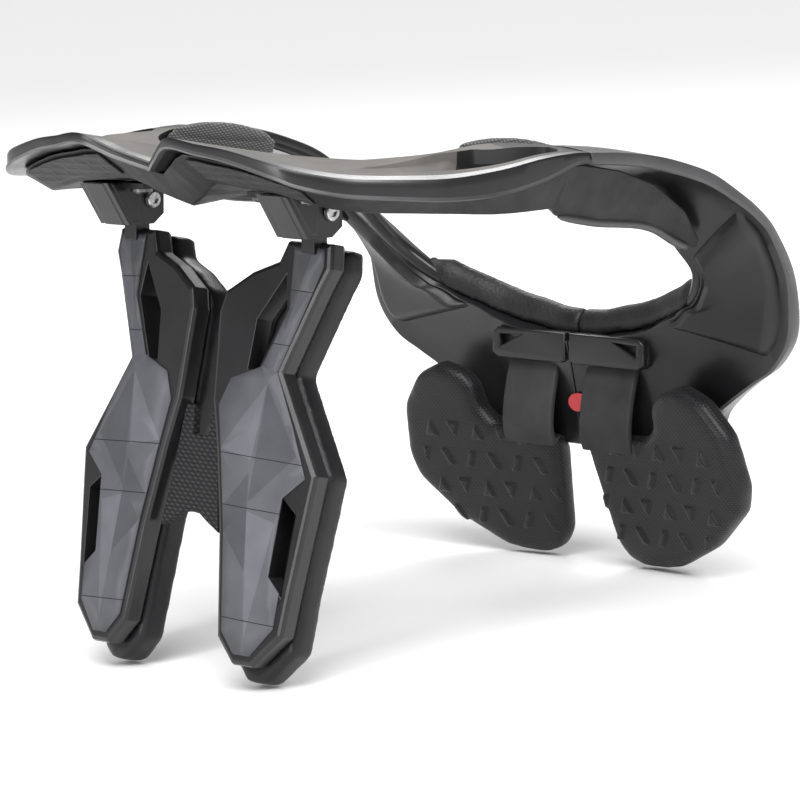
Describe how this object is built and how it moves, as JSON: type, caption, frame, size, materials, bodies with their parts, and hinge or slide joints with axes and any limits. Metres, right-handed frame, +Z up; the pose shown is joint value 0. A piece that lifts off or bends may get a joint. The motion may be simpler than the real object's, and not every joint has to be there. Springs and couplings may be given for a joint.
{
  "type": "motocross neck brace",
  "caption": "Stiff collar that rings the neck, with hinged back struts, flexible chest pads and soft linings, for off-road riding.",
  "frame": {"origin": "centre of the bounding box's bottom face: the brace stands on its struts and chest pads", "axes": "+Z up, +Y to the wearer's front, +X to the wearer's right"},
  "size_m": [0.2494, 0.2812, 0.2198],
  "materials": {
    "black_plastic": "satin moulded nylon",
    "grey_plastic": "satin warm grey",
    "printed_plastic": "satin print of grey facets",
    "soft_foam": "matt moulded foam",
    "mesh_fabric": "mid grey spacer mesh",
    "dark_rubber": "matt rubber",
    "red_plastic": "satin red",
    "bright_steel": "bright zinc"
  },
  "bodies": {
    "collar": {"collar_shell": "grey_plastic", "collar_underbody": "black_plastic", "front_wing_right": "black_plastic", "front_wing_left": "black_plastic", "neck_pad_right": "mesh_fabric", "neck_pad_left": "mesh_fabric", "collar_foam_right": "soft_foam", "collar_foam_left": "soft_foam", "pivot_bracket_right": "black_plastic", "pivot_bracket_left": "black_plastic", "pivot_screw_right": "bright_steel", "pivot_screw_left": "bright_steel", "wing_plate_right": "black_plastic", "wing_plate_left": "black_plastic", "rear_grip_pad_right": "dark_rubber", "rear_grip_pad_left": "dark_rubber", "release_button": "red_plastic", "chest_pad_right": "soft_foam", "chest_pad_left": "soft_foam", "chest_tab_right": "dark_rubber", "chest_tab_left": "dark_rubber", "tab_bracket_right": "black_plastic", "tab_bracket_left": "black_plastic"},
    "struts": {"strut_shell_right": "printed_plastic", "strut_shell_left": "printed_plastic", "strut_pad_right": "soft_foam", "strut_pad_left": "soft_foam", "strut_bridge": "dark_rubber"}
  },
  "joints": [
    {"name": "strut_hinge", "type": "hinge", "parent": "collar", "child": "struts", "pos_m": [0, -0.0879, 0.18582], "axis": [1, 0, 0], "range_deg": [-8, 10]}
  ]
}
